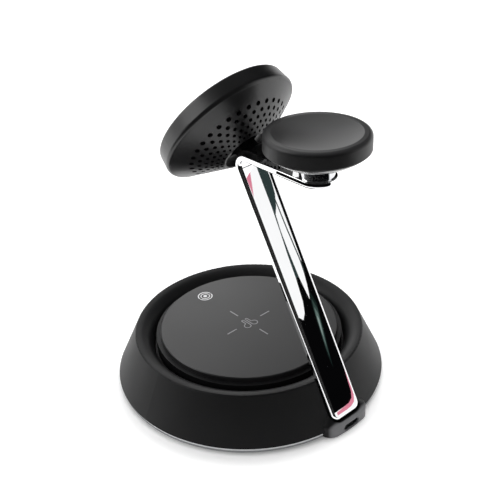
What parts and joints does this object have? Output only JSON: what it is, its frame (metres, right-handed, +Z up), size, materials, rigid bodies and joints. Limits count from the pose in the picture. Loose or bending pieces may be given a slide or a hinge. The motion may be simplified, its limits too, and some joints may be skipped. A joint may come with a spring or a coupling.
{
  "type": "wireless charger",
  "caption": "Charging stand with a round earbud pad in a conical base, a leaning chrome arm, a tilting vented phone head and a dished watch rest.",
  "frame": {"origin": "on the table, under the middle of the round base", "axes": "+Z up, the phone faces -Y, and the arm, the watch rest and the power socket are towards +Y"},
  "size_m": [0.12, 0.1226, 0.1427],
  "materials": {
    "black_shell": "fine spark-eroded black ABS, slightly soft to the light",
    "pad_top": "satin grey-black printed plastic, with pale marks",
    "gloss_black": "polished black plastic",
    "watch_soft": "soft-touch black plastic",
    "silicone": "matte black silicone rubber",
    "frosted_ring": "frosted light-guide plastic",
    "chrome_arm": "mirror-polished chromium plate",
    "black_metal": "black powder-coated zinc alloy",
    "steel": "zinc-plated steel",
    "magnet": "nickel-plated magnet",
    "copper": "enamelled copper wire",
    "ferrite": "dark sintered ferrite",
    "circuit_board": "green solder mask",
    "led": "pale light-emitting diodes",
    "contact_carrier": "black contact carrier",
    "cable": "black flat cable",
    "aluminium": "plain pressed aluminium",
    "bronze": "sintered bronze"
  },
  "bodies": {
    "stand": {"base_shell": "black_shell", "bottom_plate": "black_shell", "pad_tray": "black_shell", "pad_cover": "pad_top", "leg_cover": "gloss_black", "strip_cover": "gloss_black", "watch_base": "gloss_black", "watch_cap": "watch_soft", "rubber_mat": "silicone", "light_ring": "frosted_ring", "arm_bar": "chrome_arm", "hinge_bracket": "black_metal", "ballast_plate": "steel", "base_screws": "steel", "board_screws": "steel", "arm_screws": "steel", "saddle_screws": "steel", "watch_screw": "steel", "usb_socket": "steel", "watch_magnet": "magnet", "pad_coil": "copper", "watch_coil": "copper", "touch_electrode": "copper", "pad_ferrite": "ferrite", "watch_ferrite": "ferrite", "main_board": "circuit_board", "light_board": "circuit_board", "watch_board": "circuit_board", "leds": "led", "usb_tongue": "contact_carrier", "arm_cable": "cable"},
    "head": {"head_front": "black_shell", "head_face": "silicone", "head_back": "black_shell", "head_magnets": "magnet", "head_coil": "copper", "head_ferrite": "ferrite", "heat_spreader": "aluminium", "head_board": "circuit_board", "hinge_pin": "steel", "hinge_washers": "steel", "fan_frame": "gloss_black", "fan_bearing": "bronze"},
    "fan": {"fan_rotor": "gloss_black", "fan_shaft": "steel"}
  },
  "joints": [
    {"name": "head_tilt", "type": "hinge", "parent": "stand", "child": "head", "pos_m": [0, -0.00077, 0.11183], "axis": [1, 0, 0], "range_deg": [-15, 25]},
    {"name": "fan_spin", "type": "hinge", "parent": "head", "child": "fan", "pos_m": [0, -0.00686, 0.11621], "axis": [0, -0.8121, 0.5835], "continuous": true}
  ]
}
